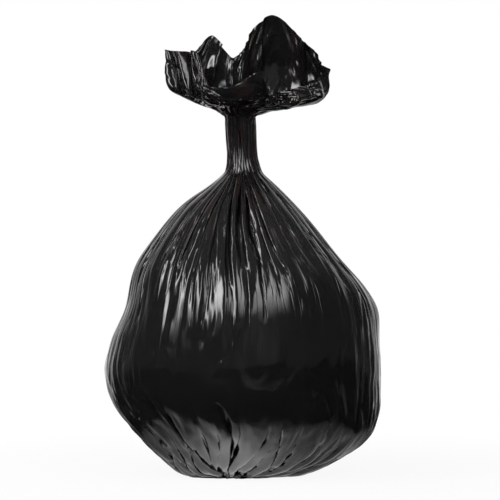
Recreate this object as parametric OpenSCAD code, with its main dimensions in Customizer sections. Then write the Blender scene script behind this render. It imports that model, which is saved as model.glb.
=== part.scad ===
// Filled bin bag of black film, gathered at the neck, with its open mouth flaring above.
// One tube of film, star-sealed at the bottom. X is across, -Y is the front, Z is up.
// The origin is on the floor, under the middle of the belly.

/* [Filled body] */
// Width of the belly, left to right
body_w = 328; // [240:2:420]
// Depth of the belly, front to back
body_d = 300; // [220:2:400]
// Height of the widest level above the floor
belly_h = 125; // [100:1:150]
// Height of the level where the filled body ends and the neck starts
body_h = 361; // [300:1:440]

/* [Star seal] */
// How far the seal sits in front of the middle of the floor spot
seal_forward = 45; // [20:1:60]
// How far the seal sits to the left of the middle
seal_left = 7; // [0:1:20]

/* [Neck] */
// Width of the gathered neck where it leaves the body
neck_foot_w = 45; // [36:1:60]
// Width of the gathered neck at its waist
neck_w = 36; // [28:1:46]
// Height of the gathered neck
neck_h = 66; // [50:1:110]
// How far the top of the neck leans to the left
neck_lean = 4; // [0:1:12]

/* [Mouth] */
// Width of the flared mouth, left to right, over the knees of the film
mouth_w = 196; // [150:2:260]
// Depth of the flared mouth, front to back
mouth_d = 118; // [80:2:160]
// Height of the tallest lobe above the neck
mouth_h = 130; // [90:2:170]
// How far the film rises out of the neck before it turns outwards
throat_rise = 14; // [6:1:24]
// Thickness of the film in the mouth
film_t = 1.6; // [1:0.1:2.4]

/* [Gathers] */
// Number of pleats round the neck
pleats = 26; // [18:1:30]
// Depth of the pleats in the cone over the belly
cone_pleat = 10; // [4:0.5:12]
// Depth of the pleats under the belly
under_pleat = 5; // [1:0.5:7]
// Depth of the pleats in the neck
neck_pleat = 5; // [2:0.5:7]
// Depth of the crinkles at the rim of the mouth
rim_pleat = 3.5; // [1:0.5:5]

/* [Hidden] */
film_black = [0.045, 0.045, 0.047];

// Columns of points to a pleat, and rings up each part of the bag
per_pleat = 4;
body_rings = 31;
neck_rings = 5;
mouth_rings = 9;
columns = pleats * per_pleat;

// Levels of the belly, where the film is smooth, and of the deepest pleats, from 0 to 1
belly_level = 6 / 13;
foot_level = 11 / 13;
// Pleats lower than this are pressed out by the floor
pressed_h = 12;

// Reach of the body from its axis on each side, as shares of the way out:
// seven levels from the seal up to the belly, and seven more up to the neck
under_reach_right = [0, 0.17, 0.42, 0.65, 0.87, 0.97, 1];
under_reach_back = [0, 0.17, 0.44, 0.65, 0.84, 0.97, 1];
under_reach_left = [0, 0.19, 0.42, 0.61, 0.78, 0.93, 1];
under_reach_front = [0, 0.15, 0.41, 0.69, 0.89, 0.98, 1];
cone_reach_right = [0.99, 0.955, 0.85, 0.64, 0.37, 0.14, 0];
cone_reach_back = [0.98, 0.93, 0.80, 0.61, 0.35, 0.13, 0];
cone_reach_left = [0.956, 0.84, 0.767, 0.63, 0.38, 0.13, 0];
cone_reach_front = [0.985, 0.92, 0.81, 0.62, 0.36, 0.13, 0];

// Height of the same levels on each side, as shares of the height of that part
under_rise_right = [0, 0, 0, 0.105, 0.30, 0.54, 1];
under_rise_back = [0, 0, 0, 0.10, 0.30, 0.60, 1];
under_rise_left = [0, 0, 0.01, 0.18, 0.40, 0.68, 1];
under_rise_front = [0, 0.03, 0.13, 0.32, 0.54, 0.77, 1];
cone_rise_right = [0.16, 0.315, 0.43, 0.58, 0.78, 0.925, 1];
cone_rise_back = [0.16, 0.33, 0.48, 0.62, 0.80, 0.93, 1];
cone_rise_left = [0.15, 0.31, 0.505, 0.64, 0.825, 0.934, 1];
cone_rise_front = [0.15, 0.33, 0.48, 0.62, 0.80, 0.93, 1];

// Share of the seal's offset that is left at each of the fourteen levels
seal_share = [1, 0.85, 0.5, 0.18, 0, 0, 0, 0, 0, 0, 0, 0, 0, 0];

// Rim of the mouth at twenty stations round it, from the right by the back and the left
// to the front, as shares of its half width, half depth and height over the neck
rim_stations = [
    [0.96, 0.03, 0.46], [0.87, 0.44, 0.62], [0.77, 0.78, 0.78], [0.62, 0.95, 0.90],
    [0.42, 0.98, 0.99], [0.17, 0.88, 0.87], [0.08, 0.75, 0.71], [-0.08, 0.64, 0.56],
    [-0.20, 0.64, 0.65], [-0.34, 0.64, 0.80], [-0.50, 0.51, 0.67], [-0.66, 0.31, 0.60],
    [-0.86, 0.03, 0.64], [-0.68, -0.31, 0.59], [-0.47, -0.54, 0.50], [-0.31, -0.88, 0.26],
    [-0.06, -0.98, 0.26], [0.27, -0.78, 0.40], [0.43, -0.75, 0.21], [0.74, -0.58, 0.27]
];
// Where the film turns up from lying outwards, at the same stations
knee_stations = [
    [1.54, 0.00, 0.15], [1.35, 0.75, 0.20], [1.02, 1.08, 0.27], [0.71, 1.19, 0.31],
    [0.35, 1.19, 0.33], [0.12, 1.12, 0.30], [0.02, 1.02, 0.25], [-0.12, 0.92, 0.22],
    [-0.27, 0.92, 0.23], [-0.43, 0.88, 0.24], [-0.73, 0.75, 0.19], [-1.06, 0.41, 0.15],
    [-1.26, -0.07, 0.13], [-1.06, -0.58, 0.13], [-0.76, -1.02, 0.15], [-0.43, -1.29, 0.14],
    [-0.08, -1.36, 0.12], [0.27, -1.29, 0.12], [0.61, -1.25, 0.02], [1.14, -0.85, 0.06]
];

// Curves through values at equal steps
function smooth(t) = t * t * (3 - 2 * t);
function between(a, b, t) = a + (b - a) * t;
function clamp(v, low, high) = min(max(v, low), high);
function cubic(p, q, r, s, f) =
    q + f * (r - p) / 2 + f * f * (2 * p - 5 * q + 4 * r - s) / 2
    + f * f * f * (3 * q - p - 3 * r + s) / 2;
function open_curve(list, t) =
    let (last = len(list) - 1, x = clamp(t, 0, 1) * last, i = min(floor(x), last - 1))
    cubic(
        i == 0 ? 2 * list[0] - list[1] : list[i - 1], list[i], list[i + 1],
        i + 2 > last ? 2 * list[last] - list[last - 1] : list[i + 2], x - i
    );
function ring_curve(list, t) =
    let (n = len(list), x = t * n, i = floor(x))
    cubic(
        list[(i - 1 + n) % n], list[i % n], list[(i + 1) % n], list[(i + 2) % n], x - i
    );

// One value from the four sides, turning smoothly round the bag
function round_sides(right, back, left, front, a) =
    (cos(a) > 0 ? right : left) * pow(cos(a), 2) + (sin(a) > 0 ? back : front) * pow(sin(a), 2);

// Pleats: 0 on a crest and 1 in a valley, of uneven width and depth
function uneven(i, seed) = sin(137.5 * i + seed) * 0.6 + sin(71.3 * i + 2 * seed) * 0.4;
function pleat_angle(c) =
    let (p = floor(c / per_pleat), f = c / per_pleat - p)
    360 / pleats * (between(p + 0.28 * uneven(p, 20), p + 1 + 0.28 * uneven((p + 1) % pleats, 20), f));
function pleat_wave(c) = abs(c / per_pleat - floor(c / per_pleat + 0.5)) * 2;
function pleat_size(c) = 0.68 + 0.32 * uneven(floor(c / per_pleat), 75);

// Filled body: a point at column angle a, with the level t from 0 at the seal to 1 at the neck
function reach_levels(half, under, cone) =
    concat([for (s = under) s * half], [for (s = cone) between(neck_foot_w / 2, half, s)]);
function rise_levels(under, cone) =
    concat([for (s = under) s * belly_h], [for (s = cone) between(belly_h, body_h, s)]);
reach_right = reach_levels(body_w / 2, under_reach_right, cone_reach_right);
reach_back = reach_levels(body_d / 2, under_reach_back, cone_reach_back);
reach_left = reach_levels(body_w / 2, under_reach_left, cone_reach_left);
reach_front = reach_levels(body_d / 2, under_reach_front, cone_reach_front);
rise_right = rise_levels(under_rise_right, cone_rise_right);
rise_back = rise_levels(under_rise_back, cone_rise_back);
rise_left = rise_levels(under_rise_left, cone_rise_left);
rise_front = rise_levels(under_rise_front, cone_rise_front);
function body_point(a, t) =
    let (
        out = round_sides(
            open_curve(reach_right, t), open_curve(reach_back, t),
            open_curve(reach_left, t), open_curve(reach_front, t), a
        ),
        up = round_sides(
            open_curve(rise_right, t), open_curve(rise_back, t),
            open_curve(rise_left, t), open_curve(rise_front, t), a
        ),
        off = open_curve(seal_share, t)
    )
    [out * cos(a) - seal_left * off, out * sin(a) - seal_forward * off, max(up, 0)];

// Inward pull of the pleats, from the axis of the bag
function pulled(p, c, depth) =
    let (a = pleat_angle(c), d = depth * pleat_wave(c) * pleat_size(c))
    [p.x - d * cos(a), p.y - d * sin(a), p.z];
function body_pleat(t) =
    t < belly_level
        ? under_pleat * smooth(sin(180 * t / belly_level))
        : t < foot_level
            ? cone_pleat * smooth((t - belly_level) / (foot_level - belly_level))
            : between(cone_pleat, neck_pleat, smooth((t - foot_level) / (1 - foot_level)));
function body_ring(t) =
    [for (c = [0 : columns - 1])
        let (p = body_point(pleat_angle(c), t))
        pulled(p, c, body_pleat(t) * clamp(p.z / pressed_h, 0, 1))];

// Gathered neck: its waist is a little over the middle
function neck_radius(t) = between(neck_foot_w, neck_w, smooth(clamp(t * 1.6, 0, 1))) / 2;
function neck_ring(t) =
    [for (c = [0 : columns - 1])
        let (a = pleat_angle(c), r = neck_radius(t))
        pulled([r * cos(a) - neck_lean * t, r * sin(a), body_h + neck_h * t], c, neck_pleat)];

// Mouth: the film leaves the neck outwards, turns up at the knee and ends at the rim
mouth_foot = [-neck_lean, 0, body_h + neck_h];
function mouth_size(v) = mouth_foot + [v.x * mouth_w / 2, v.y * mouth_d / 2, v.z * mouth_h];
function mouth_point(c, t) =
    let (
        a = pleat_angle(c),
        u = a / 360 - floor(a / 360),
        start = mouth_foot + neck_radius(1) * [cos(a), sin(a), 0],
        lip = mouth_foot + [neck_w * 0.6 * cos(a), neck_w * 0.6 * sin(a), throat_rise],
        knee = mouth_size(ring_curve(knee_stations, u)),
        rim = mouth_size(ring_curve(rim_stations, u))
    )
    start * pow(1 - t, 3) + lip * 3 * t * pow(1 - t, 2) + knee * 3 * t * t * (1 - t) + rim * pow(t, 3);
function mouth_normal(c, t) =
    let (
        along = mouth_point(c, min(t + 0.05, 1)) - mouth_point(c, max(t - 0.05, 0)),
        round = mouth_point(c + 2, t) - mouth_point(c - 2, t),
        n = cross(round, along)
    )
    n / norm(n);
function mouth_film(c, t, side) =
    let (
        n = mouth_normal(c, t),
        depth = between(neck_pleat, rim_pleat, smooth(t)),
        wave = pleat_wave(c) * pleat_size(c) - 0.5 * smooth(t)
    )
    mouth_point(c, t) - n * (depth * wave + side * film_t);
function mouth_ring(t, side) = [for (c = [0 : columns - 1]) mouth_film(c, t, side)];

// The whole skin: from the seal up the outside to the rim, and down the inside to the throat
throat_share = 0.3;
throat_depth = 6;
seal_point = body_point(0, 0);
throat_point = mouth_foot + [0, 0, throat_depth];
skin_rings = concat(
    [for (i = [1 : body_rings]) body_ring(i / body_rings)],
    [for (i = [1 : neck_rings]) neck_ring(i / neck_rings)],
    [for (i = [1 : mouth_rings]) mouth_ring(i / mouth_rings, 0)],
    [for (i = [mouth_rings : -1 : ceil(mouth_rings * throat_share)]) mouth_ring(i / mouth_rings, 1)]
);
ring_count = len(skin_rings);
skin_points = concat([seal_point], [for (r = skin_rings) each r], [throat_point]);
function at(r, c) = 1 + r * columns + c % columns;
skin_faces = concat(
    [for (c = [0 : columns - 1]) [0, at(0, c), at(0, c + 1)]],
    [for (r = [0 : ring_count - 2], c = [0 : columns - 1]) [at(r, c), at(r + 1, c), at(r + 1, c + 1)]],
    [for (r = [0 : ring_count - 2], c = [0 : columns - 1]) [at(r, c), at(r + 1, c + 1), at(r, c + 1)]],
    [for (c = [0 : columns - 1]) [len(skin_points) - 1, at(ring_count - 1, c + 1), at(ring_count - 1, c)]]
);

module bag() {
    color(film_black) polyhedron(skin_points, skin_faces);
}

bag();
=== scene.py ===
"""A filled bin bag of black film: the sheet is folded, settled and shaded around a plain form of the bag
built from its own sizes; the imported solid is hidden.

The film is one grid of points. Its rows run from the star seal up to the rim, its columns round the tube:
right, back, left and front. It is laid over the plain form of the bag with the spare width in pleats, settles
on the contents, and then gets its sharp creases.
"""
import math
from types import SimpleNamespace

import bpy
import numpy as np
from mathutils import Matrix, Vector


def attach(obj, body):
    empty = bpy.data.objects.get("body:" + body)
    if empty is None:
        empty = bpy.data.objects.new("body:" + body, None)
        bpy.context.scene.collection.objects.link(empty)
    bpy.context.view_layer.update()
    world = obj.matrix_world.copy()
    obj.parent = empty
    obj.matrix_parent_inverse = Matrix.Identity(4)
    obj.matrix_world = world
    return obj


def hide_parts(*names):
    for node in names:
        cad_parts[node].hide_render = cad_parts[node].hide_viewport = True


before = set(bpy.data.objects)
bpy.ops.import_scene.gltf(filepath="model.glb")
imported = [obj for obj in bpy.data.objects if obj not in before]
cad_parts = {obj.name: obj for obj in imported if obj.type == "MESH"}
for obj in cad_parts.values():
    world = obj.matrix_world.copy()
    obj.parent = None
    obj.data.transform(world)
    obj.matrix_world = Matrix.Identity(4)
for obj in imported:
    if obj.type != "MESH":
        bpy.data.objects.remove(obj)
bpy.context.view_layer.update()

# The film's grid
COLUMNS = 448            # cells round the tube
BODY_ROWS = 140
NECK_ROWS = 12
MOUTH_ROWS = 62
TIP_ROWS = 4
PLACES = np.arange(COLUMNS) / COLUMNS     # place of each column round the film, as a share

# Each random choice has its own seed, so that a change to one leaves the others as they are
SEEDS = {"pleats": 20, "mouth": 11, "film": 3, "low creases": 7, "facets": 31, "belly facets": 53, "tip": 5}

# The film and its pleats, in metres
FILM_ROUND = 1.04        # the tube, laid flat it is half as wide
OPEN_ROUND = 0.60        # what shows of it just above the neck, the rest lies in small folds
UPPER_PLEATS = 46        # gathered into the neck
LOWER_PLEATS = 44        # gathered into the star seal
MOUTH_FOLDS = 13         # what is left of them at the rim
PLEATS_MEET = 0.215      # how far up the film the lower pleats give way to the upper ones
TAIL_TOP = 0.46          # how far up the film the upper pleats' tails begin
TIP_STEP = 0.004         # length of a row of the film's end under the seal
FLOOR_GAP = 0.0004       # how far the film stays over the floor

# Settling. The pulls are how firmly film is held that is too long, and that is too short
SETTLE_ROUNDS = 260
HOLD_EVERY = 3           # in one round of these the contents, the neck and the mouth hold the film
ROUND_PULL, ALONG_PULL, CROSS_PULL = (0.9, 0.6), (1.0, 0.6), (0.4, 0.10)
ROUND_STIFF, ALONG_STIFF, MOUTH_STIFFER = 0.007, 0.02, 1.6
MOUTH_HOLD, RIM_HOLD = 0.03, 0.06
SHAKE = 0.0003           # metres that the film is uneven by at the start
PUFF = 0.00006           # metres that each hold rounds the body's film out by

# The bag, in metres
BODY_W, BODY_D = 0.328, 0.300
BELLY_H, BODY_H = 0.125, 0.361
SEAL_FORWARD, SEAL_LEFT = 0.045, 0.007
NECK_FOOT_W, NECK_W, NECK_H, NECK_LEAN = 0.045, 0.036, 0.066, 0.004
NECK_FLARE = 0.11        # share of the neck's height in which it narrows from its foot
MOUTH_W, MOUTH_D, MOUTH_H = 0.196, 0.118, 0.130
THROAT_RISE = 0.014      # how far over the neck the film starts to turn out
THROAT_REACH = 0.6       # how far out it is there, as a share of the neck's width
LUMPS = 0.0013           # how uneven the contents are

# Floor, camera and stage
FLOOR_Z = -0.0006
FLOOR_SHOWN = 0.93       # share of the floor's colour under the bag that is plain white to the camera
FLOOR_CENTRE = (0.038, 0.0, 0.0)      # round it the floor glows white to gloss rays: a painted glow that stands in for light under the bag
FLOOR_NEAR, FLOOR_FAR = 0.07, 0.196   # distances from it between which that fades out
FLOOR_GLOSS_GLOW = 0.80       # how strongly the floor glows there in gloss, painted light
CAMERA_PLACE, CAMERA_LENS = (0.0078, -2.6, 0.2685), 156

# Reach and rise of the body on its four sides, from the seal up to the belly and on to the neck
UNDER_REACH = {
    "right": [0, 0.17, 0.42, 0.65, 0.87, 0.97, 1],
    "back": [0, 0.17, 0.44, 0.65, 0.84, 0.97, 1],
    "left": [0, 0.19, 0.42, 0.61, 0.78, 0.93, 1],
    "front": [0, 0.15, 0.41, 0.69, 0.89, 0.98, 1],
}
CONE_REACH = {
    "right": [0.99, 0.955, 0.85, 0.64, 0.37, 0.14, 0],
    "back": [0.98, 0.93, 0.80, 0.61, 0.35, 0.13, 0],
    "left": [0.956, 0.84, 0.767, 0.63, 0.38, 0.13, 0],
    "front": [0.985, 0.92, 0.81, 0.62, 0.36, 0.13, 0],
}
UNDER_RISE = {
    "right": [0, 0, 0, 0.105, 0.30, 0.54, 1],
    "back": [0, 0, 0, 0.10, 0.30, 0.60, 1],
    "left": [0, 0, 0.01, 0.18, 0.40, 0.68, 1],
    "front": [0, 0.03, 0.13, 0.32, 0.54, 0.77, 1],
}
CONE_RISE = {
    "right": [0.16, 0.315, 0.43, 0.58, 0.78, 0.925, 1],
    "back": [0.16, 0.33, 0.48, 0.62, 0.80, 0.93, 1],
    "left": [0.15, 0.31, 0.505, 0.64, 0.825, 0.934, 1],
    "front": [0.15, 0.33, 0.48, 0.62, 0.80, 0.93, 1],
}

# How far off the middle the body's film lies, from the seal up, as a share of the seal's own place
SEAL_SHARE = [1, 0.85, 0.5, 0.18, 0, 0, 0, 0, 0, 0, 0, 0, 0, 0]

# Rim of the mouth and the knee below it, as shares of half width, half depth and height
RIM = [
    [1.05, 0.12, 0.40], [1.02, 0.52, 0.54], [0.87, 0.70, 0.68], [0.69, 0.80, 0.82],
    [0.41, 0.84, 1.02], [0.15, 0.80, 0.85], [0.08, 0.74, 0.70], [-0.08, 0.70, 0.57],
    [-0.20, 0.74, 0.66], [-0.34, 0.74, 0.83], [-0.50, 0.64, 0.68], [-0.66, 0.44, 0.60],
    [-0.90, 0.05, 0.63], [-0.74, -0.28, 0.60], [-0.54, -0.48, 0.60], [-0.47, -0.80, 0.28],
    [-0.12, -0.98, 0.25], [0.27, -0.80, 0.42], [0.35, -0.80, 0.20], [0.85, -0.62, 0.29],
]
KNEE = [
    [1.10, 0.06, 0.17], [1.07, 0.62, 0.11], [0.92, 0.92, 0.08], [0.70, 1.08, 0.08],
    [0.38, 1.12, 0.08], [0.14, 1.00, 0.08], [0.04, 0.80, 0.08], [-0.10, 0.62, 0.08],
    [-0.24, 0.56, 0.08], [-0.40, 0.56, 0.09], [-0.58, 0.52, 0.12], [-0.81, 0.32, 0.16],
    [-0.91, -0.05, 0.20], [-0.63, -0.52, 0.13], [-0.36, -0.76, 0.10], [-0.40, -0.88, 0.10],
    [-0.12, -0.90, 0.10], [0.25, -0.82, 0.12], [0.53, -0.94, 0.07], [0.98, -0.80, 0.11],
]
KNEE_PULL = 3.0          # how sharply the film turns up at the knee
RIM_SHARP = 0.6          # 1 is straight between the rim's stations, 0 is one smooth curve

# Folds that fan out from the neck into the mouth: place round the rim and how far out each stands, in mm
FOLDS = [
    [0.000, -4], [0.020, 4], [0.045, -3], [0.085, 1.0], [0.125, -0.8], [0.165, 0.8],
    [0.205, -0.8], [0.245, 0.8], [0.290, -1.2], [0.330, 2], [0.355, -2], [0.380, 1.5],
    [0.430, -1], [0.480, 1], [0.530, -1.5], [0.560, 3], [0.585, -4], [0.603, 4],
    [0.625, -5], [0.648, 5], [0.670, -5], [0.692, 4], [0.712, -3], [0.750, 3],
    [0.790, -2], [0.840, 2], [0.862, -4], [0.885, 4], [0.905, -5], [0.925, 5],
    [0.945, -5], [0.965, 4], [0.985, -3],
]
FOLD_DEPTH = 1.5         # all of them are deeper by this

# Beds of creases: count, place and spread round the film (0 right, 0.25 back, 0.5 left, 0.75 front; no
# spread is anywhere), stretch along the film, then length, width and height from least to most, and slant.
# The soft ones are in the film while it settles; the sharp and the low ones are added afterwards.
SOFT_BEDS = [
    (200, 0, 0, 0.05, 0.44, (0.03, 0.16), (0.004, 0.010), (0.0005, 0.0022), 0),
    (50, 0.67, 0.05, 0.20, 0.40, (0.05, 0.16), (0.005, 0.010), (0.0005, 0.0016), 0),
]
SHARP_BEDS = [
    (260, 0, 0, 0.05, 0.42, (0.03, 0.13), (0.003, 0.008), (0.0001, 0.0004), 0),
    (110, 0, 0, 0.03, 0.13, (0.03, 0.11), (0.004, 0.012), (0.0003, 0.0011), 0),
    (260, 0, 0, 0.13, 0.21, (0.02, 0.08), (0.003, 0.010), (0.0003, 0.0009), 0),
    (40, 0.67, 0.045, 0.20, 0.36, (0.03, 0.12), (0.004, 0.009), (0.0002, 0.0007), 0),
    (12, 0.693, 0.030, 0.31, 0.37, (0.08, 0.16), (0.006, 0.012), (0.0008, 0.0020), 0),
    (8, 0.640, 0.025, 0.29, 0.37, (0.08, 0.16), (0.006, 0.012), (0.0006, 0.0016), 0),
    (18, 0.752, 0.022, 0.40, 0.46, (0.08, 0.18), (0.005, 0.008), (0.0012, 0.0028), 0),
    (16, 0.875, 0.030, 0.28, 0.38, (0.08, 0.18), (0.005, 0.009), (0.0008, 0.0020), 0),
    (26, 0.745, 0.085, 0.06, 0.14, (0.08, 0.16), (0.005, 0.010), (0.0007, 0.0017), 0),
    (20, 0.25, 0.12, 0.06, 0.14, (0.08, 0.16), (0.005, 0.010), (0.0007, 0.0017), 0),
    (30, 0.25, 0.10, 0.28, 0.38, (0.08, 0.18), (0.005, 0.009), (0.0008, 0.0022), 0),
    (150, 0.575, 0.03, 0.14, 0.42, (0.06, 0.18), (0.003, 0.006), (0.0002, 0.0006), 0),
    (150, 0.925, 0.03, 0.12, 0.42, (0.06, 0.18), (0.003, 0.006), (0.0002, 0.0006), 0),
    (110, 0.25, 0.08, 0.10, 0.40, (0.05, 0.16), (0.003, 0.008), (0.0002, 0.0008), 0),
    (60, 0.84, 0.05, 0.16, 0.28, (0.04, 0.10), (0.004, 0.010), (0.0002, 0.0006), 0.6),
    (12, 0.65, 0.035, 0.61, 0.69, (0.05, 0.12), (0.004, 0.010), (0.0008, 0.0016), 0),
    (16, 0.94, 0.035, 0.61, 0.69, (0.05, 0.12), (0.004, 0.010), (0.0008, 0.0016), 0),
    (16, 0, 0, 0.62, 0.69, (0.01, 0.04), (0.003, 0.007), (0.0001, 0.0004), 0),
]
LOW_BEDS = [
    (80, 0.60, 0.05, 0.06, 0.20, (0.05, 0.14), (0.004, 0.008), (0.0003, 0.0010), 0),
    (80, 0.90, 0.05, 0.06, 0.20, (0.05, 0.14), (0.004, 0.008), (0.0003, 0.0009), 0),
    (50, 0.75, 0.08, 0.05, 0.15, (0.04, 0.10), (0.004, 0.007), (0.0004, 0.0010), 0),
]

# Where creases are weak: place and spread round the film, then along it, and the share that is left of them
CALM = (0.805, 0.040), (0.31, 0.075), 0.15
SECOND_PEAK = 0.405, 0.095            # place and spread round the film of the mouth's flat wall

# The brown is painted light mixed into the film's colour: a painted reflection of skin and painted light
# shining through the thin film.
FILM_BLACK, FILM_BROWN_LIGHT = (0.0078, 0.0078, 0.0082, 1), (0.019, 0.0125, 0.0105, 1)


# Curves and noise
def dice(name):
    return np.random.default_rng(SEEDS[name])


def smooth(x):
    """Eases from 0 to 1 as x goes from 0 to 1."""
    x = np.clip(x, 0.0, 1.0)
    return x * x * (3.0 - 2.0 * x)


def cubic(p, q, r, s, f):
    """A smooth curve through four values, at the share f of the way from the second to the third."""
    square, cube = 2 * p - 5 * q + 4 * r - s, 3 * q - p - 3 * r + s
    return q + f * (r - p) / 2 + f * f * square / 2 + f ** 3 * cube / 2


def open_curve(values, share):
    """A smooth curve through evenly spaced values, at shares of its way."""
    v = np.asarray(values, float)
    v = np.concatenate([[2 * v[0] - v[1]], v, [2 * v[-1] - v[-2]]])
    x = np.clip(share, 0, 1) * (len(v) - 3)
    i = np.minimum(x.astype(int), len(v) - 4)
    return cubic(v[i], v[i + 1], v[i + 2], v[i + 3], x - i)


def ring_steps(stations, share):
    """A ring's stations, the number of the one before each share of the way round, and how far past it."""
    v = np.asarray(stations, float)
    x = (np.asarray(share) % 1.0) * len(v)
    return v, x.astype(int) % len(v), (x - np.floor(x))[..., None]


def ring_curve(stations, share):
    """A smooth closed curve through the stations."""
    v, i, f = ring_steps(stations, share)
    count = len(v)
    return cubic(v[(i - 1) % count], v[i], v[(i + 1) % count], v[(i + 2) % count], f)


def ring_line(stations, share):
    """The same ring with straight stretches, so that its peaks stay sharp."""
    v, i, f = ring_steps(stations, share)
    return v[i] * (1 - f) + v[(i + 1) % len(v)] * f


def noise_1d(count, scale, rng):
    """Smooth periodic noise over a number of samples, about scale samples to a bump, from -1 to 1."""
    knots = max(4, int(round(count / scale)))
    v = rng.uniform(-1, 1, knots)
    x = np.arange(count) / count * knots
    i = x.astype(int)
    return cubic(v[(i - 1) % knots], v[i % knots], v[(i + 1) % knots], v[(i + 2) % knots], x - i)


def knots_2d(rows, columns, cell_rows, cell_columns, rng):
    """Random values, one to a cell of the grid, and some rows over."""
    knots_up = max(2, int(math.ceil(rows / cell_rows))) + 3
    knots_round = max(4, int(round(columns / cell_columns)))
    return rng.uniform(-1, 1, (knots_up, knots_round))


def noise_2d(rows, columns, cell_rows, cell_columns, rng):
    """Smooth noise over a grid, periodic along the columns, from -1 to 1."""
    v = knots_2d(rows, columns, cell_rows, cell_columns, rng)
    knots_up, knots_round = v.shape
    x = np.arange(columns) / columns * knots_round
    i = x.astype(int)
    across = cubic(v[:, (i - 1) % knots_round], v[:, i % knots_round], v[:, (i + 1) % knots_round],
                   v[:, (i + 2) % knots_round], x - i)
    y = np.arange(rows) / cell_rows
    j = y.astype(int)
    f = (y - j)[:, None]
    return cubic(across[j], across[j + 1], across[j + 2], across[np.minimum(j + 3, knots_up - 1)], f)


def facets_2d(rows, columns, cell_rows, cell_columns, rng):
    """Flat triangles that meet in sharp edges, over a grid, periodic along the columns, from -1 to 1."""
    v = knots_2d(rows, columns, cell_rows, cell_columns, rng)
    knots_up, knots_round = v.shape
    warp_x = 0.45 * noise_2d(rows, columns, cell_rows * 0.9, cell_columns * 0.9, rng)
    warp_y = 0.45 * noise_2d(rows, columns, cell_rows * 0.9, cell_columns * 0.9, rng)
    x = (np.arange(columns) / columns * knots_round)[None, :] + warp_x
    y = np.clip((np.arange(rows) / cell_rows)[:, None] + warp_y, 0, knots_up - 1.001)
    i, j = np.floor(x).astype(int), y.astype(int)
    f, g = x - i, y - j
    here, after = i % knots_round, (i % knots_round + 1) % knots_round
    a, b, c, d = v[j, here], v[j, after], v[j + 1, here], v[j + 1, after]
    return np.where(f + g < 1, a + f * (b - a) + g * (c - a), d + (1 - f) * (c - d) + (1 - g) * (b - d))


def unit(vectors, tiny):
    """The vectors at length 1; those about as short as tiny come out shorter."""
    return vectors / (np.linalg.norm(vectors, axis=-1, keepdims=True) + tiny)


# The plain form under the folds
def reach_levels(side, half):
    under = [share * half for share in UNDER_REACH[side]]
    cone = [NECK_FOOT_W / 2 + (half - NECK_FOOT_W / 2) * share for share in CONE_REACH[side]]
    return under + cone


def rise_levels(side):
    under = [share * BELLY_H for share in UNDER_RISE[side]]
    cone = [BELLY_H + (BODY_H - BELLY_H) * share for share in CONE_RISE[side]]
    return under + cone


HALF = {"right": BODY_W / 2, "back": BODY_D / 2, "left": BODY_W / 2, "front": BODY_D / 2}
REACH = {side: reach_levels(side, HALF[side]) for side in HALF}
RISE = {side: rise_levels(side) for side in HALF}


def round_sides(curves, angle, share):
    """What the four sides' curves say at a share of the way up, blended by the angle between the sides."""
    c, s = np.cos(angle), np.sin(angle)
    side = np.where(c > 0, open_curve(curves["right"], share), open_curve(curves["left"], share))
    face = np.where(s > 0, open_curve(curves["back"], share), open_curve(curves["front"], share))
    return side * c * c + face * s * s


def body_surface(angle, share):
    """The body, from the seal to the neck's foot."""
    angle, share = np.broadcast_arrays(angle, share)
    out, up = round_sides(REACH, angle, share), round_sides(RISE, angle, share)
    off = open_curve(SEAL_SHARE, share)
    return np.stack([out * np.cos(angle) - SEAL_LEFT * off, out * np.sin(angle) - SEAL_FORWARD * off,
                     np.maximum(up, 0)], -1)


def neck_radius(share):
    """The neck flares at its foot, so that the gathers run on into the body without a step."""
    return (NECK_W + (NECK_FOOT_W - NECK_W) * np.exp(-np.asarray(share) / NECK_FLARE)) / 2


def neck_surface(angle, share):
    angle, share = np.broadcast_arrays(angle, share)
    r = neck_radius(share)
    return np.stack([r * np.cos(angle) - NECK_LEAN * share, r * np.sin(angle), BODY_H + NECK_H * share], -1)


MOUTH_FOOT = np.array([-NECK_LEAN, 0, BODY_H + NECK_H])
MOUTH_SIZE = np.array([MOUTH_W / 2, MOUTH_D / 2, MOUTH_H])


def mouth_surface(angle, share):
    """The wall of the mouth, from the neck's top over the knee to the rim."""
    angle, share = np.broadcast_arrays(angle, share)
    place = angle / (2 * math.pi)
    t = share[..., None]
    around = np.stack([np.cos(angle), np.sin(angle), np.zeros_like(angle)], -1)
    start = MOUTH_FOOT + around * neck_radius(1.0)
    throat = MOUTH_FOOT + around * NECK_W * THROAT_REACH + np.array([0, 0, THROAT_RISE])
    knee = MOUTH_FOOT + ring_curve(KNEE, place) * MOUTH_SIZE
    edge = (1 - RIM_SHARP) * ring_curve(RIM, place) + RIM_SHARP * ring_line(RIM, place)
    rim = MOUTH_FOOT + edge * MOUTH_SIZE
    weights = [(1 - t) ** 3, 3 * t * (1 - t) ** 2, 3 * t * t * (1 - t) * KNEE_PULL, t ** 3]
    return sum(p * w for p, w in zip((start, throat, knee, rim), weights)) / sum(weights)


def ring_inward(rings):
    """Inward normals of the plain form's rings."""
    up = np.gradient(rings, axis=0)
    round_tube = np.roll(rings, -1, 1) - np.roll(rings, 1, 1)
    return unit(np.cross(up, round_tube), 1e-12)


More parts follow.
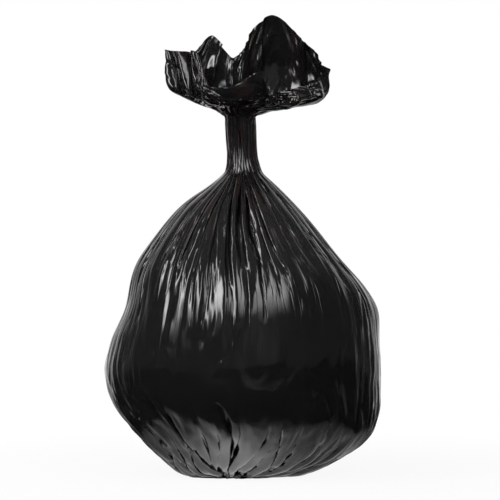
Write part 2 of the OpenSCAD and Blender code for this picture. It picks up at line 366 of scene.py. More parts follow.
def fold_mouth(rings, rng):
    """Flat panels between the folds that fan out from the neck."""
    count = rings.shape[1]
    share = (np.arange(1, MOUTH_ROWS + 1) / MOUTH_ROWS)[:, None]
    place, out = np.array(FOLDS).T
    round_tube = np.arange(count) / count
    waves = 0.006 * noise_1d(MOUTH_ROWS * 4, 60, rng)[:MOUTH_ROWS]
    panels = np.stack([np.interp(round_tube + wave, place, out, period=1.0) for wave in waves])
    fine = 1 - 2 * np.abs(noise_1d(count, count / 70, rng))
    drift = noise_2d(MOUTH_ROWS, count, 30, count / 9, rng)
    offset = smooth(share / 0.6) * (0.001 * FOLD_DEPTH * panels + 0.0005 * fine[None, :] + 0.0020 * drift)
    edge = np.exp(-(1 - share) * MOUTH_ROWS / 3.0)
    offset = offset + 0.0006 * edge * noise_1d(count, count / 90, rng)[None, :]
    mouth = rings[BODY_ROWS + NECK_ROWS:]
    level = unit(ring_inward(mouth) * np.array([1, 1, 0.15]), 1e-9)
    mouth -= level * offset[..., None]


def even_steps(surface, count):
    """Shares of the way up a surface for a number of evenly spaced rows, and the length of that way."""
    fine = np.linspace(0, 1, 400)
    angle = np.arange(24) / 24 * 2 * math.pi
    step = np.linalg.norm(np.diff(surface(angle[None, :], fine[:, None]), axis=0), axis=-1).mean(1)
    length = np.concatenate([[0], np.cumsum(step)])
    return np.interp(np.arange(1, count + 1) / count * length[-1], length, fine), length[-1]


def plain_rows():
    """The plain form as rings of close points, from the seal to the rim, and how far up the film each is."""
    angle = np.arange(1440) / 1440 * 2 * math.pi
    rings, along, reached = [], [], 0
    parts = (body_surface, BODY_ROWS), (neck_surface, NECK_ROWS), (mouth_surface, MOUTH_ROWS)
    for surface, count in parts:
        shares, length = even_steps(surface, count)
        rings.append(surface(angle[None, :], shares[:, None]))
        along.append(reached + np.arange(1, count + 1) / count * length)
        reached += length
    return np.concatenate(rings), np.concatenate(along)


# Gathering: the film is wider than the form it wraps, so the spare width goes into pleats
def pleat_set(count, rng):
    """Places of the pleats round the film, as shares, and each one's own strength, lean and sway."""
    place = (np.arange(count) + 0.5 + rng.uniform(-0.30, 0.30, count)) / count
    gap = (np.roll(place, -1) - np.roll(place, 1)) % 1.0 / 2
    pleats = {"place": place, "gap": gap, "strength": rng.normal(0, 1, count),
              "late": rng.uniform(0, 1, count), "lean": rng.uniform(-0.6, 0.6, count)}
    pleats["sway"] = np.random.default_rng(count).normal(0, 0.35, count) * gap
    return pleats


def swayed(pleats, share):
    """The same pleats, moved sideways by a share of their own sway."""
    return dict(pleats, place=pleats["place"] + pleats["sway"] * share)


def share_out(pleats, spare, width):
    """How much film each pleat takes of the spare width; strong ones take more while there is room."""
    ratio = spare / width
    wish = pleats["gap"] * np.exp(1.1 * pleats["strength"] * (1 - ratio) ** 1.5)
    wish = wish * smooth((ratio - 0.10 * pleats["late"]) / 0.12 + 0.35)
    take = wish
    for _ in range(5):
        take = take * (spare / max(take.sum(), 1e-9))
        take = np.minimum(take, 0.95 * pleats["gap"] * width)
    return take


def on_ring(values, reach, where):
    """Values of a closed ring of points, read at distances along it."""
    closed = np.concatenate([values, values[:1]])
    return np.stack([np.interp(where, reach, closed[:, k]) for k in range(3)], -1)


def fold_ring(ring, inward, sets, width, lobe):
    """One ring of film laid over a ring of the plain form, with hairpin pleats pointing inwards.
    sets is a list of (pleats, spare film), lobe how far the film is drawn in beside a pleat. Returns the
    points, how deep each lies, how near a pleat it is, its place on the plain form and the normal there."""
    step = np.linalg.norm(np.roll(ring, -1, 0) - ring, axis=-1)
    reach = np.concatenate([[0], np.cumsum(step)])
    girth = reach[-1]
    across = PLACES * width
    crest = across.copy()
    depth = np.zeros(COLUMNS)
    side = np.zeros(COLUMNS)
    pull = np.zeros(COLUMNS)
    for pleats, spare in sets:
        if spare <= 1e-5:
            continue
        gape = 0.5 * (1 - spare / width) ** 1.5 + 0.02
        take = share_out(pleats, spare / (1 - gape), width)
        for place, taken, lean in zip(pleats["place"], take, pleats["lean"]):
            crest -= np.clip(across - (place * width - taken / 2), 0, taken) * (1 - gape)
            here = np.maximum(0, taken / 2 - np.abs(across - place * width)) * math.sqrt(1 - gape * gape)
            depth += here
            side += here * lean
            away = np.abs(across - place * width) - taken / 2
            pull = np.maximum(pull, min(1.0, taken / 0.014) * np.exp(-np.maximum(away, 0) / 0.006))
    crest *= girth / (crest[-1] + width / COLUMNS)
    base = on_ring(ring, reach, crest)
    sideways = unit(on_ring(ring, reach, (crest + 0.003) % girth) - base, 1e-9)
    inwards = unit(on_ring(inward, reach, crest), 1e-9)
    points = base + inwards * (depth + lobe * pull)[:, None] + sideways * side[:, None]
    return points, depth, pull, base, -inwards


def gather_film():
    """The film with its folds laid in, as a grid of points, and what settling it has to know."""
    rng = dice("pleats")
    rings, along = plain_rows()
    fold_mouth(rings, dice("mouth"))
    inward = ring_inward(rings)
    girth = np.linalg.norm(np.roll(rings, -1, 1) - rings, axis=-1).sum(1)
    rows = len(rings)
    row = np.arange(rows)
    upper = pleat_set(UPPER_PLEATS, rng)
    lower = pleat_set(LOWER_PLEATS, rng)
    lower["strength"] *= 1.4
    flare = pleat_set(MOUTH_FOLDS, rng)
    flare["strength"] *= 0.6
    flare["lean"] = rng.choice([-1, 1], MOUTH_FOLDS) * rng.uniform(0.3, 0.9, MOUTH_FOLDS)

    past_neck = smooth((row - BODY_ROWS - NECK_ROWS) / 24.0)
    full = FILM_ROUND + (OPEN_ROUND - FILM_ROUND) * past_neck
    spare = np.maximum(full - girth - 0.030 * (1 - past_neck), 0.012 + 0.050 * past_neck)
    belly = np.searchsorted(along, PLEATS_MEET)
    to_upper = smooth((row - belly + 14) / 28.0)
    to_mouth = smooth((row - BODY_ROWS - NECK_ROWS - 2) / 26.0)
    lobe = 0.0016 * smooth((row - belly) / 50.0) + 0.0030 * smooth((belly - row) / 40.0)
    lobe[BODY_ROWS + NECK_ROWS - 6:] *= 0.3

    folded = []
    for r in range(rows):
        sway = math.sin(min(1.0, along[r] / 0.20) * 2 * math.pi)
        sets = [(upper, spare[r] * to_upper[r] * (1 - to_mouth[r])),
                (swayed(lower, sway), spare[r] * (1 - to_upper[r])),
                (flare, spare[r] * to_mouth[r])]
        folded.append(fold_ring(rings[r], inward[r], sets, girth[r] + spare[r], lobe[r]))
    points, depth, pull, home, out = (np.array(part) for part in zip(*folded))
    return SimpleNamespace(points=points, depth=depth, pull=pull, home=home, out=out,
                           width=girth + spare, along=along, lobe=lobe, upper=upper)


class Contents:
    """What the bag holds: how far out it reaches at each angle and height, and how that slopes."""
    ANGLES, HEIGHTS = 360, 260
    STEPS, FLOOR_STEPS = 600, 60      # up the plain body; the lowest ones lie on the floor

    def __init__(self, rng):
        angle = np.arange(720) / 720 * 2 * math.pi
        plain = body_surface(angle[None, :], np.linspace(0, 1, self.STEPS)[:, None])[self.FLOOR_STEPS:]
        theta = np.arctan2(plain[..., 1], plain[..., 0]) % (2 * math.pi)
        r = np.hypot(plain[..., 0], plain[..., 1])
        grid = np.arange(self.ANGLES) / self.ANGLES * 2 * math.pi
        r_at = np.array([np.interp(grid, a, v, period=2 * math.pi) for a, v in zip(theta, r)])
        z_at = np.array([np.interp(grid, a, v, period=2 * math.pi) for a, v in zip(theta, plain[..., 2])])
        z_grid = np.linspace(0, BODY_H, self.HEIGHTS)
        table = np.empty((self.HEIGHTS, self.ANGLES))
        for j in range(self.ANGLES):
            rising = np.maximum.accumulate(z_at[:, j]) + np.arange(len(plain)) * 1e-9
            table[:, j] = np.interp(z_grid, rising, r_at[:, j])
        swell = np.sin(np.clip(z_grid / BODY_H, 0, 1) * math.pi)[:, None] ** 0.7 * LUMPS
        low = 1 - smooth((z_grid - 0.08) / 0.09)[:, None]
        table += swell * noise_2d(self.HEIGHTS, self.ANGLES, 36, 36, rng)
        table += swell * (0.25 + 0.70 * low) * noise_2d(self.HEIGHTS, self.ANGLES, 17, 14, rng)
        table += swell * (0.08 + 0.45 * low) * noise_2d(self.HEIGHTS, self.ANGLES, 10, 8, rng)
        self.reach = table.astype(np.float32)
        rise, turn = BODY_H / (self.HEIGHTS - 1), 2 * math.pi / self.ANGLES
        self.slope_up = np.gradient(self.reach, rise, axis=0).astype(np.float32)
        ahead, behind = np.roll(self.reach, -1, 1), np.roll(self.reach, 1, 1)
        self.slope_round = ((ahead - behind) / (2 * turn)).astype(np.float32)

    def over(self, points):
        """Distance of points over the contents, and the outward normal there."""
        x, y, z = points[..., 0], points[..., 1], points[..., 2]
        r = np.sqrt(x * x + y * y) + 1e-6
        g = (np.arctan2(y, x) % (2 * math.pi)) * (self.ANGLES / (2 * math.pi))
        h = np.clip(z / BODY_H, 0, 0.9999) * (self.HEIGHTS - 1)
        gi, hi = g.astype(np.int32), h.astype(np.int32)
        gf, hf = g - gi, h - hi
        gi %= self.ANGLES
        gj = (gi + 1) % self.ANGLES

        def at(table):
            return ((table[hi, gi] * (1 - gf) + table[hi, gj] * gf) * (1 - hf)
                    + (table[hi + 1, gi] * (1 - gf) + table[hi + 1, gj] * gf) * hf)

        reach, up, turn = at(self.reach), at(self.slope_up), at(self.slope_round)
        ux, uy = x / r, y / r
        normal = np.stack([ux + uy * turn / r, uy - ux * turn / r, -up], -1)
        size = np.sqrt((normal * normal).sum(-1))
        return (r - reach) / size, normal / size[..., None]


# Settling: the film keeps its length and folds rather than shrinks
def pull_pairs(a, b, rest, stretch, squeeze):
    """Moves two grids of points towards their resting distance: by the share stretch of what they are too
    far apart, and by the share squeeze of what they are too close."""
    d = b - a
    length = np.sqrt(np.einsum("...i,...i->...", d, d)) + 1e-9
    k = np.where(length > rest, np.float32(0.5 * stretch), np.float32(0.5 * squeeze))
    d *= (k * (length - rest) / length)[..., None]
    a += d
    b -= d


def pull_round(points, rest, stretch, squeeze):
    pull_pairs(points[:, 0::2], points[:, 1::2], rest[:, 0::2], stretch, squeeze)
    pull_pairs(points[:, 1:-1:2], points[:, 2::2], rest[:, 1:-1:2], stretch, squeeze)
    pull_pairs(points[:, -1:], points[:, :1], rest[:, -1:], stretch, squeeze)


def pull_along(points, rest, stretch, squeeze):
    last = len(points) - 1
    for first in (0, 1):
        pull_pairs(points[first:last:2], points[first + 1:last + 1:2], rest[first:last:2], stretch, squeeze)


def pull_cross(points, rest, stretch, squeeze):
    last = len(points) - 1
    for first in (0, 1):
        low, high, r = points[first:last:2], points[first + 1:last + 1:2], rest[first:last:2]
        pull_pairs(low[:, :-1], high[:, 1:], r[:, :-1], stretch, squeeze)
        pull_pairs(low[:, -1:], high[:, :1], r[:, -1:], stretch, squeeze)
        pull_pairs(low[:, 1:], high[:, :-1], r[:, 1:], stretch, squeeze)
        pull_pairs(low[:, :1], high[:, -1:], r[:, :1], stretch, squeeze)


def bend_round(points):
    return np.roll(points, -1, 1) - 2 * points + np.roll(points, 1, 1)


def bend_along(points):
    return points[2:] - 2 * points[1:-1] + points[:-2]


def stiffen(points, round_k, along_k):
    """Resists bending, which rounds the folds without shrinking the film; both have a value for each row."""
    points -= round_k * bend_round(bend_round(points))
    points[2:-2] -= along_k[2:-2] * bend_along(bend_along(points))


def film_normals(points):
    round_tube = np.roll(points, -1, 1) - np.roll(points, 1, 1)
    return unit(np.cross(round_tube, np.gradient(points, axis=0)), 1e-12)


def settle(laid, creases, rng):
    """The settled film: the body on its contents, the neck in its grip, the mouth near its plain form."""
    contents = Contents(rng)
    rows = len(laid.points)
    body, neck_end = BODY_ROWS, BODY_ROWS + NECK_ROWS
    points = laid.points.astype(np.float32)
    home = laid.home.astype(np.float32)
    shake = noise_2d(rows, COLUMNS, 4, 7, rng)[1:, :, None] * SHAKE * laid.out[1:]
    points[1:] += shake.astype(np.float32)
    points += (film_normals(points) * creases[..., None]).astype(np.float32)

    # resting lengths of the film, round it, along it and across its cells
    cell = (laid.width / COLUMNS).astype(np.float32)[:, None]
    rest_round = np.linalg.norm(np.roll(points, -1, 1) - points, axis=-1).astype(np.float32)
    rest_round = np.clip(rest_round, 0.9 * cell, 1.5 * cell)
    rest_along = np.linalg.norm(home[1:] - home[:-1], axis=-1).astype(np.float32)
    rest_along *= np.float32(0.997)
    rest_cross = np.sqrt(rest_along ** 2 + ((rest_round[1:] + rest_round[:-1]) / 2) ** 2).astype(np.float32)
    stiffer = np.ones((rows, 1, 1), np.float32)
    stiffer[neck_end + 8:] = MOUTH_STIFFER
    round_k, along_k = ROUND_STIFF * stiffer, ALONG_STIFF * stiffer

    # how far under and over the contents the body's film may lie, and the push that rounds it out
    cone = smooth((np.arange(body) - 70) / 50.0).astype(np.float32)[:, None]
    low = (-(laid.depth * 1.25) - 0.0012 - laid.lobe[:, None] * (0.6 + laid.pull)).astype(np.float32)[:body]
    low -= 0.0025 * cone
    high = (0.0012 - laid.lobe[:, None] * laid.pull * 0.9).astype(np.float32)[:body]
    puff = (PUFF * np.exp(-laid.depth / 0.004)).astype(np.float32)[:body, :, None]

    # what holds the neck and the mouth; the seal stays where it is
    neck_steps = np.arange(NECK_ROWS + 1)
    axis = np.stack([-NECK_LEAN * neck_steps / NECK_ROWS, np.zeros(NECK_ROWS + 1)], -1).astype(np.float32)
    neck_r = neck_radius(neck_steps / NECK_ROWS).astype(np.float32)
    mouth_aim = points[neck_end:].copy()
    hold = np.full((rows - neck_end, 1, 1), MOUTH_HOLD, np.float32)
    hold[-1] = RIM_HOLD
    seal = points[0].copy()

    for i in range(SETTLE_ROUNDS):
        pull_round(points, rest_round, *ROUND_PULL)
        pull_along(points, rest_along, *ALONG_PULL)
        pull_cross(points, rest_cross, *CROSS_PULL)
        stiffen(points, round_k, along_k)
        if i % HOLD_EVERY == 0:
            film = points[1:body]
            over, normal = contents.over(film)
            film += normal * (np.clip(over, low[1:], high[1:]) - over)[..., None]
            film += normal * puff[1:]
            np.maximum(film[..., 2], FLOOR_GAP, out=film[..., 2])
            neck = points[body - 1:neck_end]
            out = neck[..., :2] - axis[:, None, :]
            r = np.sqrt((out * out).sum(-1)) + 1e-6
            gripped = np.clip(r, 0.002, neck_r[:, None] + 0.0008) / r
            neck[..., :2] = axis[:, None, :] + out * gripped[..., None]
            mouth = points[neck_end:]
            mouth += hold * (mouth_aim - mouth)
        points[0] = seal
    return points


# Sharp creases, as offsets along the film's own normal
def round_away(centre):
    """How many columns each column is away from one place on each row, the short way round."""
    return (np.arange(COLUMNS)[None, :] - centre[:, None] + COLUMNS / 2) % COLUMNS - COLUMNS / 2


def crease_beds(along, beds, rng):
    """Straight creases that run up the film, each with a sharp ridge or valley line."""
    field = np.zeros((len(along), COLUMNS))
    cell = FILM_ROUND / COLUMNS
    for count, place, spread, low, high, lengths, widths, heights, slant in beds:
        for _ in range(count):
            length, wide = rng.uniform(*lengths), rng.uniform(*widths)
            tall = rng.uniform(*heights) * rng.choice([-1, 1])
            middle = rng.uniform(low, high)
            where = rng.normal(place, spread) if spread else rng.uniform(0, 1)
            lean, bend = rng.normal(slant, 0.07), rng.normal(0, 0.6)
            skew = rng.uniform(0.35, 0.65)
            r = np.nonzero(np.abs(along - middle) < length / 2)[0]
            if len(r) < 3:
                continue
            run = along[r] - middle
            away = round_away(where * COLUMNS + (lean * run + bend * run ** 2) / cell)
            window = 1 - (run / (length / 2)) ** 2
            half = wide * (0.5 + 0.5 * window)[:, None] / cell
            flank = np.where(away < 0, half * 2 * skew, half * 2 * (1 - skew))
            field[r] += tall * window[:, None] * np.maximum(0, 1 - np.abs(away) / flank)
    return field


def calm_patch(along):
    """How strong creases are: less on the smooth swell at the front right, half way up."""
    (place, spread), (height, reach), least = CALM
    round_film = np.exp(-((PLACES - place) / spread) ** 2)[None, :]
    up_film = np.exp(-((along - height) / reach) ** 2)[:, None]
    return 1 - (1 - least) * round_film * up_film


def pleat_tails(along, pleats, rng):
    """Each gathered pleat runs on down the film as a valley that fades out at its own height."""
    field = np.zeros((len(along), COLUMNS))
    cell = FILM_ROUND / COLUMNS
    for place, strength in zip(pleats["place"], pleats["strength"]):
        front_left = math.exp(-((place - 0.68) / 0.07) ** 2)
        end = 0.33 - 0.05 * rng.uniform() - 0.07 * front_left * rng.uniform(0.4, 1.2)
        r = np.nonzero((along > end) & (along < TAIL_TOP))[0]
        deep = 0.0009 + 0.0008 * rng.uniform() + 0.0003 * front_left
        deep *= 1 + 0.3 * np.clip(strength, -1, 1)
        window = smooth((along[r] - end) / 0.12) * smooth((TAIL_TOP - along[r]) / 0.06)
        away = round_away(place * COLUMNS + rng.normal(0, 0.04) * (along[r] - TAIL_TOP) / cell)
        half = rng.uniform(0.0035, 0.008) / cell
        field[r] -= deep * window[:, None] * np.maximum(0, 1 - np.abs(away) / half)
    return field


def draw_out(points, along, rows_up):
    """Takes small buckles out: across the mouth, more under its second peak, and along the cone's rows."""
    mouth = smooth((rows_up - 4) / 8.0) * smooth((MOUTH_ROWS + 1 - rows_up) / 8.0)
    place, spread = SECOND_PEAK
    under_peak = np.exp(-((PLACES - place) / spread) ** 2)
    for passes, strength in ((3, mouth[:, None]), (20, mouth[:, None] * under_peak)):
        for _ in range(passes):
            points = points + 0.25 * strength[..., None] * bend_round(points)
    cone = smooth((along - 0.34) / 0.05) * smooth((0.52 - along) / 0.03)
    for _ in range(8):
        points[1:-1] += 0.25 * cone[1:-1, None, None] * bend_along(points)
    return points


def small_relief(along, rows_up, calm):
    """Flat facets, as heights in metres: in the mouth, up the body and round the belly."""
    def facets(height, cell_rows, cell_columns, rng):
        return height * facets_2d(len(along), COLUMNS, cell_rows, cell_columns, rng)

    rng = dice("facets")
    near_rim = np.exp(-(MOUTH_ROWS - 1 - rows_up) / 6.0)
    mouth = facets(0.0022, 11, 13, rng) + facets(0.0007, 5, 6, rng)
    mouth *= (smooth((rows_up - 4) / 20.0) * (1 - 0.7 * near_rim))[:, None]
    body = facets(0.0006, 9, 6, rng) + facets(0.0003, 5, 3, rng)
    body *= (smooth((0.39 - along) / 0.08) * smooth(along / 0.06))[:, None] * calm
    belly = facets(0.0020, 9, 6, dice("belly facets"))
    belly *= (smooth((along - 0.07) / 0.06) * smooth((0.26 - along) / 0.08))[:, None]
    return mouth + body + belly


def tip_rows(seal, rng):
    """The film's end under the star seal: a short flat frill that lies on the floor in front."""
    rows = []
    angle = PLACES * 2 * math.pi
    ripple = noise_1d(COLUMNS, 9, rng)
    for k in range(TIP_ROWS, 0, -1):
        half = 0.0030 + 0.0020 * k
        thick = 0.0012 + 0.0004 * k
        centre = seal.mean(0) + np.array([-0.0008, -0.0042, 0.0002]) * k
        wave = ripple * 0.0020 * k / TIP_ROWS
        forward = centre[1] - 0.003 * np.cos(2 * angle) * k / TIP_ROWS + wave
        up = np.maximum(0.0005, 0.0030 + thick * np.sin(angle) + 0.8 * wave)
        rows.append(np.stack([centre[0] + half * np.cos(angle), forward, up], -1))
    return np.array(rows)


def film_points():
    """The finished film as a grid of points, and how far up the film each row lies."""
    laid = gather_film()
    along = laid.along
    calm = calm_patch(along)
    rng = dice("film")
    points = settle(laid, crease_beds(along, SOFT_BEDS, rng) * calm, rng)
    rows_up = np.arange(len(points)) - BODY_ROWS - NECK_ROWS
    points = draw_out(points, along, rows_up)
    offset = (crease_beds(along, SHARP_BEDS, rng) + pleat_tails(along, laid.upper, rng)) * calm
    offset += crease_beds(along, LOW_BEDS, dice("low creases"))
    offset += 0.0009 * noise_2d(len(points), COLUMNS, 7, 10, rng) * smooth((0.23 - along) / 0.10)[:, None]
    offset += small_relief(along, rows_up, calm)
    points = points + film_normals(points) * offset[..., None]
    points[..., 2] = np.maximum(points[..., 2], FLOOR_GAP)
    tip = tip_rows(points[0], dice("tip"))
    tip_along = along[0] - TIP_STEP * np.arange(TIP_ROWS, 0, -1)
    return np.concatenate([tip, points]), np.concatenate([tip_along, along])


def film_object(points, along):
    """The film as a mesh, with its own coordinates: round it and along it, both as shares of its round."""
    rows, columns = points.shape[:2]
    mesh = bpy.data.meshes.new("film")
    r, c = np.meshgrid(np.arange(rows - 1), np.arange(columns), indexing="ij")
    after = (c + 1) % columns
    low, high = r * columns, (r + 1) * columns
    quads = np.stack([low + c, low + after, high + after, high + c], -1)
    mesh.from_pydata(points.reshape(-1, 3).tolist(), [], quads.reshape(-1, 4).tolist())
    uv = mesh.uv_layers.new(name="film")
    u = np.stack([c, c + 1, c + 1, c], -1).reshape(-1) / columns
    v_row = along / FILM_ROUND
    v = np.stack([v_row[r], v_row[r], v_row[r + 1], v_row[r + 1]], -1).reshape(-1)
    uv.data.foreach_set("uv", np.stack([u, v], -1).astype(np.float32).ravel())
    mesh.polygons.foreach_set("use_smooth", np.ones(len(mesh.polygons), bool))
    film = bpy.data.objects.new("bag_film", mesh)
    bpy.context.scene.collection.objects.link(film)
    return film


# Materials
class Nodes:
    """Short calls for building a node tree: every call returns the socket that holds the result."""

    def __init__(self, tree):
        self.tree = tree

    def put(self, kind, inputs=(), output=0, **settings):
        node = self.tree.nodes.new(kind)
        for key, value in settings.items():
            setattr(node, key, value)
        for key, value in (inputs.items() if isinstance(inputs, dict) else enumerate(inputs)):
            if isinstance(value, bpy.types.NodeSocket):
                self.tree.links.new(value, node.inputs[key])
            else:
                node.inputs[key].default_value = value
        return node.outputs[output] if node.outputs else node

    def math(self, kind, a, b=None, clamp=False):
        return self.put("ShaderNodeMath", [a] if b is None else [a, b], operation=kind, use_clamp=clamp)

    def add(self, a, b):
        return self.math("ADD", a, b)

    def less(self, a, b):
        return self.math("SUBTRACT", a, b)

    def apart(self, a, b):
        return self.math("ABSOLUTE", self.less(a, b))

    def times(self, a, b):
        return self.math("MULTIPLY", a, b)

    def most(self, a, b):
        return self.math("MAXIMUM", a, b)

    def share(self, a, b):
        """a divided by b, kept between 0 and 1."""
        return self.math("DIVIDE", a, b, clamp=True)

    def split(self, vector):
        parts = self.put("ShaderNodeSeparateXYZ", [vector]).node.outputs
        return parts["X"], parts["Y"], parts["Z"]

    def scaled(self, vector, by):
        return self.put("ShaderNodeVectorMath", {0: vector, 1: by}, operation="MULTIPLY")

    def noise(self, vector, scale, detail=2.0, rough=0.5, distortion=0.0):
        return self.put("ShaderNodeTexNoise", {"Vector": vector, "Scale": scale, "Detail": detail,
                                               "Roughness": rough, "Distortion": distortion}, "Fac")

    def facets(self, vector, scale):
        """Flat slopes that meet in sharp edges, about 1 / scale metres across."""
        return self.put("ShaderNodeTexVoronoi", {"Vector": vector, "Scale": scale, "Randomness": 1.0},
                        "Distance", feature="F1")

    def ridge(self, value, half):
        """1 on the line where a noise crosses its middle, falling to 0 at half away: a thin crease."""
        return self.less(1.0, self.share(self.apart(value, 0.5), half))

    def ramp(self, value, low, high, to_low=0.0, to_high=1.0):
        return self.put("ShaderNodeMapRange", {"Value": value, "From Min": low, "From Max": high,
                                               "To Min": to_low, "To Max": to_high},
                        interpolation_type="SMOOTHSTEP")


def fine_creases(net, film, up, in_mouth):
    """Height of the finest lines: slivers of flat film up the body, crossed ones in the mouth, drawn lines.
    The drawn lines are returned as well, for the gloss."""
    drawn = net.noise(net.scaled(film, (1, 1, 0.035)), 330, 2.0, 0.55)
    long_lines = net.ridge(net.noise(net.scaled(film, (1, 1, 0.10)), 95, 2.0, 0.55, 0.3), 0.035)
    slivers = net.facets(net.scaled(film, (1, 1, 0.17)), 60)
    slivers_fine = net.facets(net.scaled(film, (1, 1, 0.22)), 150)
    in_cone = net.ramp(up, 0.38, 0.43)
    near_seal = net.times(net.ramp(up, 0.19, 0.13), 0.9)
    worked = net.most(net.ramp(net.noise(film, 10, 2.0, 0.5), 0.40, 0.62, 0.12, 1.0), near_seal)
    worked = net.times(worked, net.less(1.0, net.times(in_cone, 0.75)))
    all_slivers = net.add(net.times(slivers, 0.7), net.times(slivers_fine, 0.25))
    lines = net.add(net.times(long_lines, 0.10), net.times(drawn, 0.025))
    on_body = net.add(net.times(worked, all_slivers), lines)

    patches = net.ramp(net.noise(film, 17, 1.0, 0.5), 0.52, 0.64, 0.05, 1.0)
    crossed = net.add(net.times(net.facets(film, 48), 0.15), net.times(net.facets(film, 130), 0.12))
    beside_mouth = net.less(1.0, net.times(in_mouth, 0.9))
    return net.add(net.times(beside_mouth, on_body), net.times(in_mouth, net.times(patches, crossed))), drawn


def film_material():
    """Black film with fine creases, and a trace of brown in the mouth and near the neck that is painted
    light: a painted reflection of skin and painted light shining through the thin film.
    """
    material = bpy.data.materials.new("black_film")
    material.use_nodes = True
    tree = material.node_tree
    net = Nodes(tree)
    bsdf = tree.nodes["Principled BSDF"]
    bsdf.inputs["IOR"].default_value = 1.52

    # the film's own coordinates in metres: a closed tube, so that nothing shows where it closes
    round_share, up_share, _ = net.split(net.put("ShaderNodeUVMap", uv_map="film"))
    angle = net.times(round_share, 2 * math.pi)
    radius = FILM_ROUND / (2 * math.pi)
    up = net.times(up_share, FILM_ROUND)
    film = net.put("ShaderNodeCombineXYZ", [
        net.times(net.math("COSINE", angle), radius), net.times(net.math("SINE", angle), radius), up])
    in_mouth = net.ramp(up, 0.57, 0.62)
    near_neck = net.times(net.ramp(up, 0.36, 0.50), net.ramp(up, 0.66, 0.60))

    height, drawn = fine_creases(net, film, up, in_mouth)
    bump = net.put("ShaderNodeBump", {"Strength": 1.0, "Distance": 0.001, "Height": height})
    tree.links.new(bump, bsdf.inputs["Normal"])

    # Painted light: patches of brown in the mouth and near the neck, a painted reflection of skin and painted
    # light shining through the thin film.
    brown_light_patches = net.ramp(net.noise(film, 24, 3.0, 0.5), 0.42, 0.68)
    brown_light_tint = net.times(net.most(net.times(in_mouth, 0.6), near_neck), brown_light_patches)
    color = net.put("ShaderNodeMix", {0: brown_light_tint, 6: FILM_BLACK, 7: FILM_BROWN_LIGHT}, 2, data_type="RGBA")
    tree.links.new(color, bsdf.inputs["Base Color"])
    rough = net.add(net.times(net.noise(film, 30, 3.0, 0.6), 0.06), net.times(drawn, 0.04))
    tree.links.new(net.add(rough, 0.035), bsdf.inputs["Roughness"])
    return material


def white_behind(net, x, y):
    """How white the stage behind the bag is in gloss: it fades towards the sides and ends in front."""
    aside = net.math("DIVIDE", net.math("ABSOLUTE", x), net.most(net.add(y, 0.08), 0.01))
    fade = net.share(net.less(1.25, aside), 1.05)
    return net.times(net.add(net.times(fade, 0.88), 0.12), net.math("MULTIPLY", y, 3.0, clamp=True))


def floor_material():
    """Pale floor: white to the camera, with the bag's shadow; in gloss a painted white glow near the bag, and
    white behind it.
    """
    material = bpy.data.materials.new("pale_floor")
    material.use_nodes = True
    tree = material.node_tree
    tree.nodes.clear()
    net = Nodes(tree)
    place = net.put("ShaderNodeNewGeometry", output="Position")
    x, y, _ = net.split(place)
    away = net.put("ShaderNodeVectorMath", [place, FLOOR_CENTRE], "Value", operation="DISTANCE")
    path = net.put("ShaderNodeLightPath").node
    plain = net.put("ShaderNodeBsdfDiffuse", {"Color": (0.82, 0.82, 0.82, 1)})
    white = net.put("ShaderNodeEmission", {"Color": (1, 1, 1, 1), "Strength": 1.0})
    dark = net.put("ShaderNodeEmission", {"Color": (0, 0, 0, 1), "Strength": 0.0})

    direct = net.most(path.outputs["Is Camera Ray"], path.outputs["Is Transmission Ray"])
    beyond = net.share(net.less(away, 0.18), 0.45)
    shown = net.add(net.times(beyond, 1 - FLOOR_SHOWN), FLOOR_SHOWN)
    looked_at = net.put("ShaderNodeMixShader", [net.times(direct, shown), plain, white])

    # Painted light: near the bag the floor glows white to gloss rays whatever shadow falls there, so that the
    # bag's underside shows a bright reflection.
    close = net.times(net.share(net.less(FLOOR_FAR, away), FLOOR_FAR - FLOOR_NEAR), FLOOR_GLOSS_GLOW)
    in_gloss = net.put("ShaderNodeMixShader", [net.most(close, white_behind(net, x, y)), dark, white])
    surface = net.put("ShaderNodeMixShader", [path.outputs["Is Glossy Ray"], looked_at, in_gloss])
    net.put("ShaderNodeOutputMaterial", {"Surface": surface})
    return material


# Stage, lamps and camera
def studio_world():
    """White to the camera all round; in gloss white behind the bag, else dim with soft light from above."""
    world = bpy.data.worlds.new("studio")
    bpy.context.scene.world = world
    world.use_nodes = True
    net = Nodes(world.node_tree)
    x, y, z = net.split(net.put("ShaderNodeTexCoord", output="Generated"))
    path = net.put("ShaderNodeLightPath").node
    above = net.ramp(z, 0.60, 0.97, 0.07, 0.20)
    behind = net.times(white_behind(net, x, y), net.ramp(z, 0.88, 0.80))
    direct = net.most(path.outputs["Is Camera Ray"], path.outputs["Is Transmission Ray"])
    gloss = net.times(path.outputs["Is Glossy Ray"], behind)
    background = world.node_tree.nodes["Background"]
    background.inputs["Color"].default_value = (1, 1, 1, 1)
    world.node_tree.links.new(net.most(net.most(direct, gloss), above), background.inputs["Strength"])


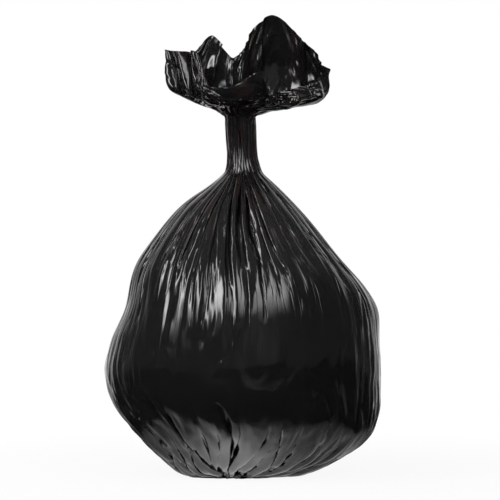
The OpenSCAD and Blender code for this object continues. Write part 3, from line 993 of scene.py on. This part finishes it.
def softbox(name, place, aim, size, level, soft, core=0.0, at=(0.5, 0.5), cuts=()):
    """A flat lamp: level is how bright its face is, soft how far in its left, right, lower and upper edges
    fade, core how much brighter it is around one spot, cuts its dark corners, each with its reach."""
    light = bpy.data.lights.new(name, "AREA")
    light.shape = "RECTANGLE"
    light.size, light.size_y = size
    light.energy = math.pi * size[0] * size[1]
    light.use_nodes = True
    tree = light.node_tree
    net = Nodes(tree)
    x, y, _ = net.split(net.put("ShaderNodeNewGeometry", output="Parametric"))
    face = level
    for inside, edge in zip((x, net.less(1.0, x), y, net.less(1.0, y)), soft):
        face = net.times(net.ramp(inside, 0.0, edge), face)
    for corner_x, corner_y, reach in cuts:
        slant = net.add(net.apart(x, corner_x), net.apart(y, corner_y))
        face = net.times(net.ramp(slant, reach - 0.12, reach + 0.12), face)
    dx, dy = net.less(x, at[0]), net.less(y, at[1])
    away = net.add(net.times(dx, dx), net.times(dy, dy))
    hot = net.times(net.math("EXPONENT", net.times(away, -30.0)), core)
    tree.links.new(net.add(face, hot), tree.nodes["Emission"].inputs["Strength"])
    lamp = bpy.data.objects.new(name, light)
    lamp.location = place
    lamp.rotation_euler = (Vector(aim) - Vector(place)).to_track_quat("-Z", "Y").to_euler()
    lamp.visible_camera = False
    bpy.context.scene.collection.objects.link(lamp)
    return lamp


def stage():
    """The pale floor, the white world and the lamps."""
    mesh = bpy.data.meshes.new("floor")
    mesh.from_pydata([(x, y, FLOOR_Z) for x, y in ((-8, -8), (8, -8), (8, 8), (-8, 8))], [], [(0, 1, 2, 3)])
    floor = bpy.data.objects.new("floor", mesh)
    mesh.materials.append(floor_material())
    bpy.context.scene.collection.objects.link(floor)
    studio_world()
    bag = (0, 0, 0.25)
    softbox("key_left", (-0.88, -1.02, 1.38), bag, (1.3, 2.1), 9.4, (0.10, 0.20, 0.16, 0.05),
            core=7.0, at=(0.36, 0.33), cuts=[(1, 1, 0.96), (0, 0, 0.76)])
    softbox("key_right", (0.38, -1.17, 1.54), bag, (1.4, 2.1), 5.8, (0.20, 0.32, 0.44, 0.08),
            cuts=[(0, 1, 0.98)])
    softbox("fill", (0.55, -2.9, 0.75), bag, (2.6, 2.0), 0.20, (0.5, 0.5, 0.5, 0.5))
    low = softbox("floor_glow", (-0.05, -0.07, 0.002), (-0.05, -0.069, 1.0), (0.28, 0.18), 0.5,
                  (0.15, 0.50, 0.25, 0.40), core=2.0, at=(0.62, 0.74))
    low.visible_diffuse = False


def camera():
    """Level with the bag's middle, in front of it."""
    cam = bpy.data.cameras.new("camera")
    cam.sensor_width = 36
    cam.lens = CAMERA_LENS
    holder = bpy.data.objects.new("camera", cam)
    holder.location = CAMERA_PLACE
    holder.rotation_euler = (math.pi / 2, 0, 0)
    bpy.context.scene.collection.objects.link(holder)
    bpy.context.scene.camera = holder


# Build
bpy.context.scene.view_settings.view_transform = "Standard"
film = film_object(*film_points())
film.data.materials.append(film_material())
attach(film, "root")
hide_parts("bag")
stage()
camera()

bpy.context.view_layer.update()
